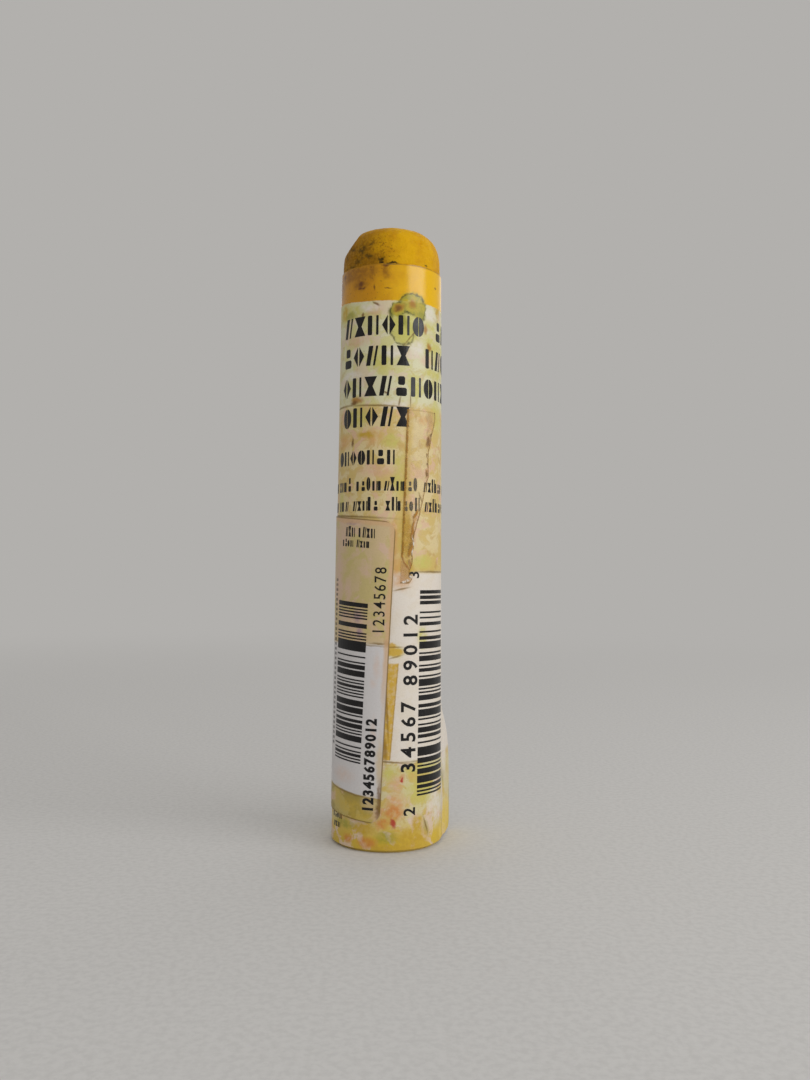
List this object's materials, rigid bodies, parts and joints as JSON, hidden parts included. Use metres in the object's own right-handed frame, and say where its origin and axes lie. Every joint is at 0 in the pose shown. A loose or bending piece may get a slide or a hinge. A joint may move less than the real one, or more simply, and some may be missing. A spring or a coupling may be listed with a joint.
{
  "type": "watercolour stick",
  "caption": "Round tapered stick of solid watercolour pigment in a lapped paper wrap, with a rubbed tip, a shop sticker and a torn strip of tape.",
  "frame": {"origin": "centre of the stick's flat base, where its axis meets the surface it stands on", "axes": "+Z along the stick from the base to the worn tip; -Y towards the front, where the main print faces; the unstuck corner of the wrap is at +X"},
  "size_m": [0.0153, 0.0141, 0.078],
  "materials": {
    "pigment": "dry, matte, rubbed pigment with dark smears",
    "wrap_paper": "coated paper, printed, water stained",
    "sticker_paper": "matte label paper, printed, stained",
    "clear_tape": "clear tape, yellowed, torn"
  },
  "bodies": {
    "root": {"pigment_stick": "pigment", "paper_wrap": "wrap_paper", "stock_sticker": "sticker_paper", "torn_tape": "clear_tape"}
  },
  "joints": []
}
